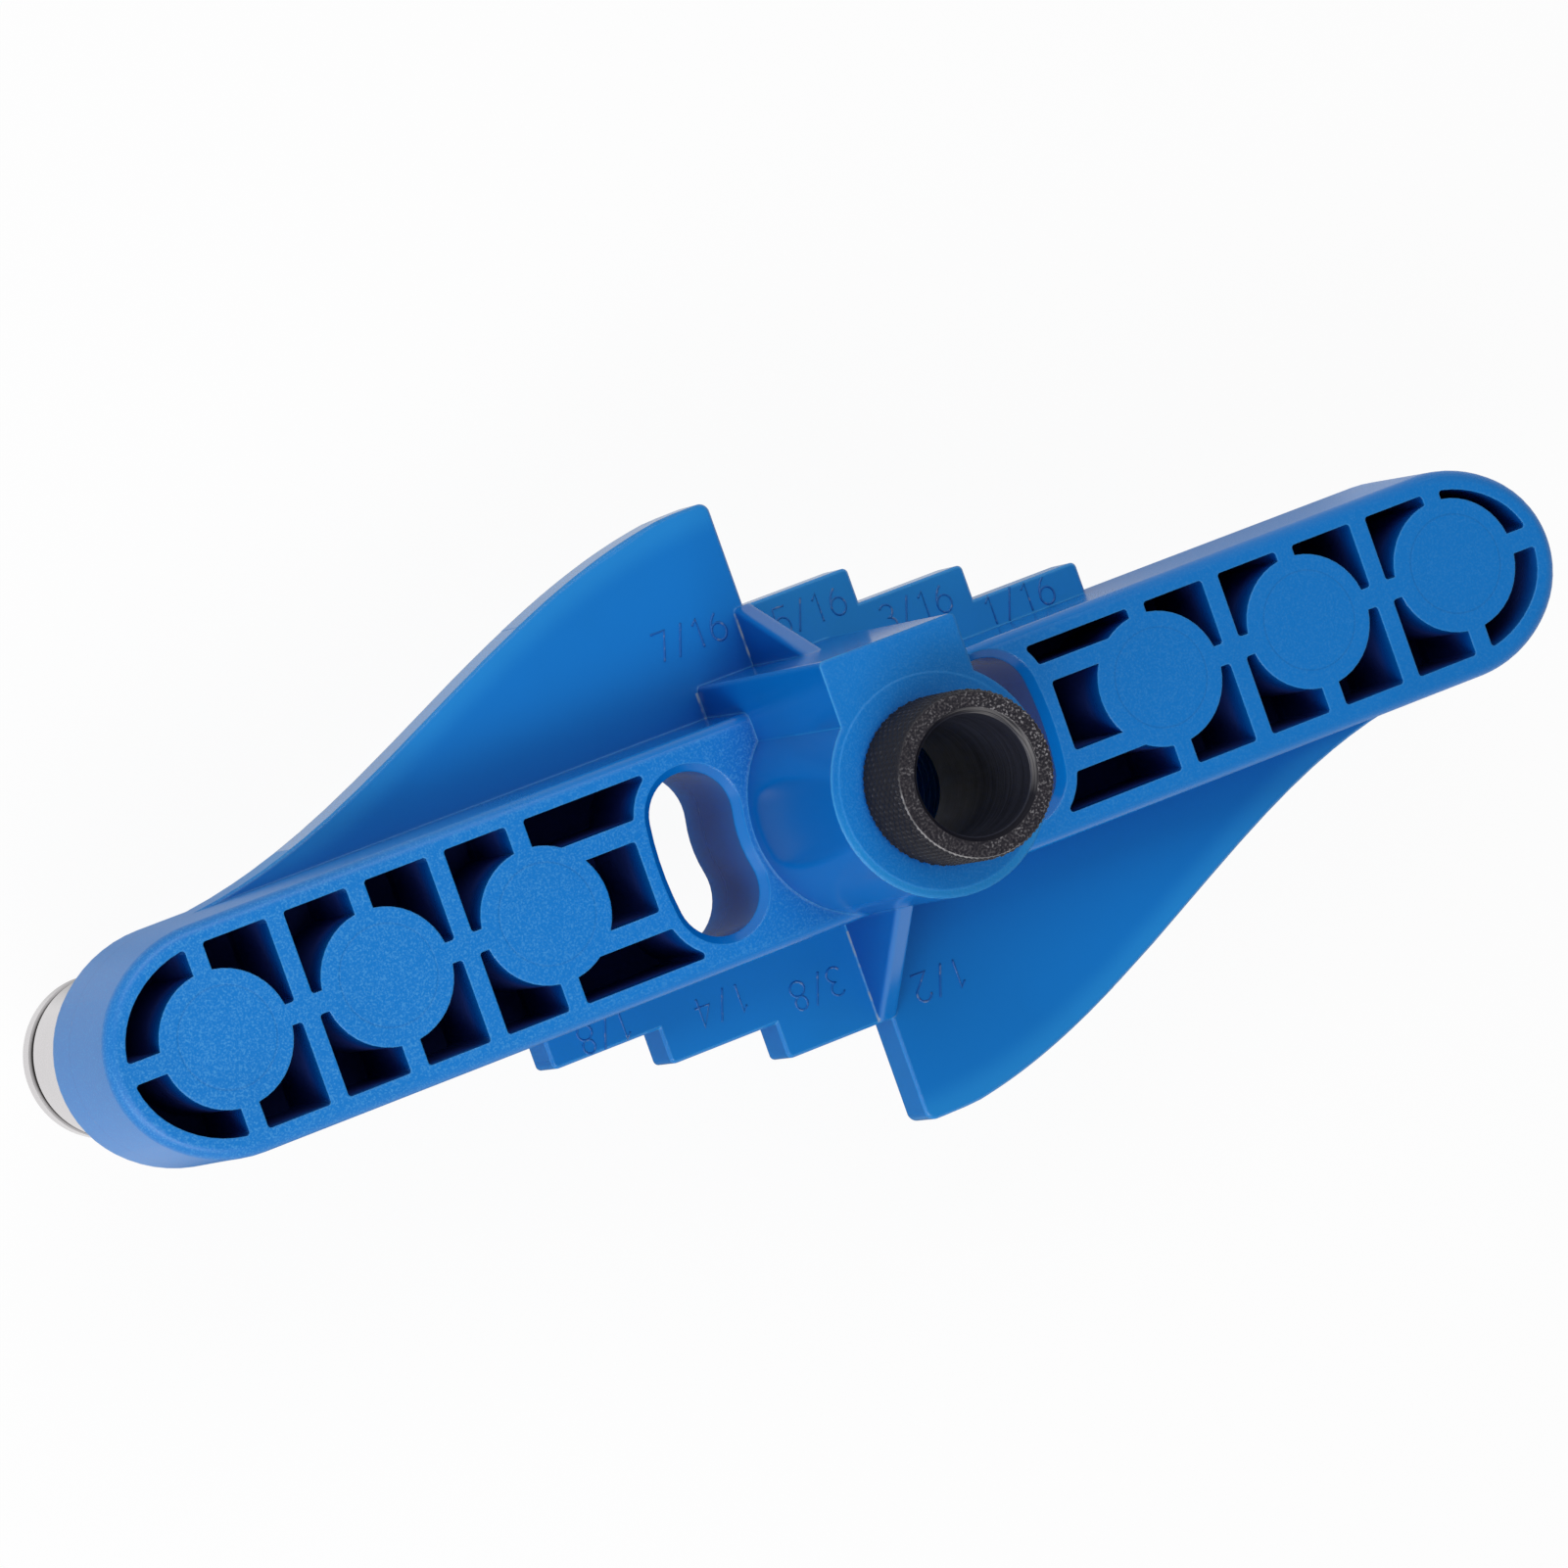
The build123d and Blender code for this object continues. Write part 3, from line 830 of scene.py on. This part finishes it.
def make_guides():
    """The turned rollers and their shoulder screws, over their CAD solids."""
    low, high = roller_ends_z
    c = roller_chamfer
    roller = [(roller_bore_radius + c, low), (roller_radius - c, low), (roller_radius, low + c)]
    roller += [(roller_radius, high - c), (roller_radius - c, high), (roller_bore_radius + c, high)]
    roller += [(roller_bore_radius, high - c), (roller_bore_radius, low + c)]
    end, seat = screw_head_z

    def hexagon(angle):
        return hex_half_width / math.cos((angle + math.pi / 6) % (math.pi / 3) - math.pi / 6)

    screw = [(hexagon, end + hex_depth), (hexagon, end + hex_mouth_depth), (hex_mouth_radius, end)]
    screw += [(roller_radius - c, end), (roller_radius, end + c), (roller_radius, seat - c)]
    screw += [(roller_radius - c, seat), (screw_shoulder_radius, seat), (screw_shoulder_radius, 0.0)]
    screw += [(screw_thread_radius, 0.0), (screw_thread_radius, screw_thread_end_z)]
    for side, x in (("left", -guide_x), ("right", guide_x)):
        points, faces = turned(roller, guide_segments, x, closed=True)
        piece = add_piece("roller_" + side, points, faces, side + "_roller", "bright_steel")
        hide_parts("guide_roller_" + side)
        points, faces = turned(screw, guide_segments, x)
        piece = add_piece("screw_" + side, points, faces, "jig", "bright_steel")
        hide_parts("roller_screw_" + side)


def make_fin_edges():
    """A thin strip along the curved edge of each fin, flush with the plate's faces."""
    steps = 40
    high = plate_top_z - flush_gap
    for side, name, tip_y in ((1, "fin_edge_top", fin_tips_y[0]), (-1, "fin_edge_bottom", fin_tips_y[1])):
        rise = tip_y - fin_root_y
        points, faces = [], []
        for step in range(steps + 1):
            reach = fin_fill_from + (fin_fill_to - fin_fill_from) * step / steps
            fill = fin_fill_share * rise * (1 - step / steps) ** 1.5
            edge = fin_root_y + rise * (1 + math.cos(math.pi * reach / fin_reach)) / 2 + fill
            profile = [(edge, flush_gap), (edge, plate_top_z - plate_chamfer), (edge - plate_chamfer, high)]
            profile += [(edge - fin_fill_width, high), (edge - fin_fill_width, flush_gap)]
            points += [(-side * reach, side * y, z) for y, z in profile]
        for step in range(steps):
            for corner in range(5):
                a = step * 5 + corner
                b = step * 5 + (corner + 1) % 5
                faces.append((a, a + 5, b + 5, b))
        faces.append(tuple(range(5)))
        faces.append(tuple(reversed(range(steps * 5, steps * 5 + 5))))
        add_piece(name, points, faces, "jig", "blue_plastic")


def arc(x, y, rx, ry, start, end):
    """Points of a bow round (x, y), by its angles in degrees."""
    steps = max(4, round(abs(end - start) / 20))
    angles = [math.radians(start + (end - start) * i / steps) for i in range(steps + 1)]
    return [(x + rx * math.cos(a), y + ry * math.sin(a)) for a in angles]


# Single-stroke figures, one high, with their middle at x = 0
figures = {
    "/": [[(-0.20, -0.04), (0.20, 1.04)]],
    "1": [[(-0.14, 0.80), (0.04, 1.0), (0.04, 0.0)]],
    "2": [arc(0.0, 0.73, 0.27, 0.27, 170, -35) + [(-0.28, 0.0), (0.28, 0.0)]],
    "3": [arc(0.0, 0.76, 0.24, 0.24, 150, -90) + arc(0.0, 0.26, 0.27, 0.26, 90, -150)],
    "4": [[(0.12, 0.0), (0.12, 1.0), (-0.28, 0.30), (0.28, 0.30)]],
    "5": [[(0.24, 1.0), (-0.20, 1.0), (-0.24, 0.55)] + arc(0.0, 0.32, 0.28, 0.32, 130, -140)],
    "6": [arc(0.02, 0.31, 0.27, 0.31, 0, 360), arc(0.30, 0.31, 0.55, 0.72, 180, 118)],
    "7": [[(-0.26, 1.0), (0.27, 1.0), (-0.08, 0.0)]],
    "8": [arc(0.0, 0.76, 0.22, 0.24, -90, 270), arc(0.0, 0.26, 0.27, 0.26, -90, 270)],
}


def make_numbers():
    """The gauge's inch fractions, as fine raised strokes on the plate."""
    data = bpy.data.curves.new("scale_numbers", "CURVE")
    data.dimensions = "3D"
    data.bevel_depth = numeral_stroke / 2
    data.bevel_resolution = 2
    data.use_fill_caps = True
    lines = []
    for text, (cx, cy), turned_over in scale_numbers:
        way = -1 if turned_over else 1
        for place, figure in enumerate(text):
            shift = (place - (len(text) - 1) / 2) * numeral_pitch
            for stroke in figures[figure]:
                line = []
                for u, v in stroke:
                    x = cx * mm + way * (shift + u * numeral_height)
                    y = cy * mm + way * (v - 0.5) * numeral_height
                    line.append((x, y, plate_top_z - numeral_sink, 1.0))
                lines.append(line)
    for line in lines:
        spline = data.splines.new("POLY")
        spline.points.add(len(line) - 1)
        for point, value in zip(spline.points, line):
            point.co = value
    data.materials.append(finishes["blue_plastic"])
    numbers = bpy.data.objects.new("scale_numbers", data)
    bpy.context.scene.collection.objects.link(numbers)
    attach(numbers, "jig")


make_camera()
make_world()
for lamp in lamps:
    make_lamp(*lamp)
make_floor()
finishes = {"blue_plastic": blue_plastic(), "black_steel": black_steel(), "bright_steel": bright_steel()}
for entry in frame["record"]["subparts"]:
    piece = frame["nodes"][entry["node"]]
    piece.data.materials.clear()
    piece.data.materials.append(finishes[entry["material_slot"]])
make_bush()
make_thread()
make_guides()
make_fin_edges()
make_numbers()

bpy.context.scene.view_settings.view_transform = "Standard"
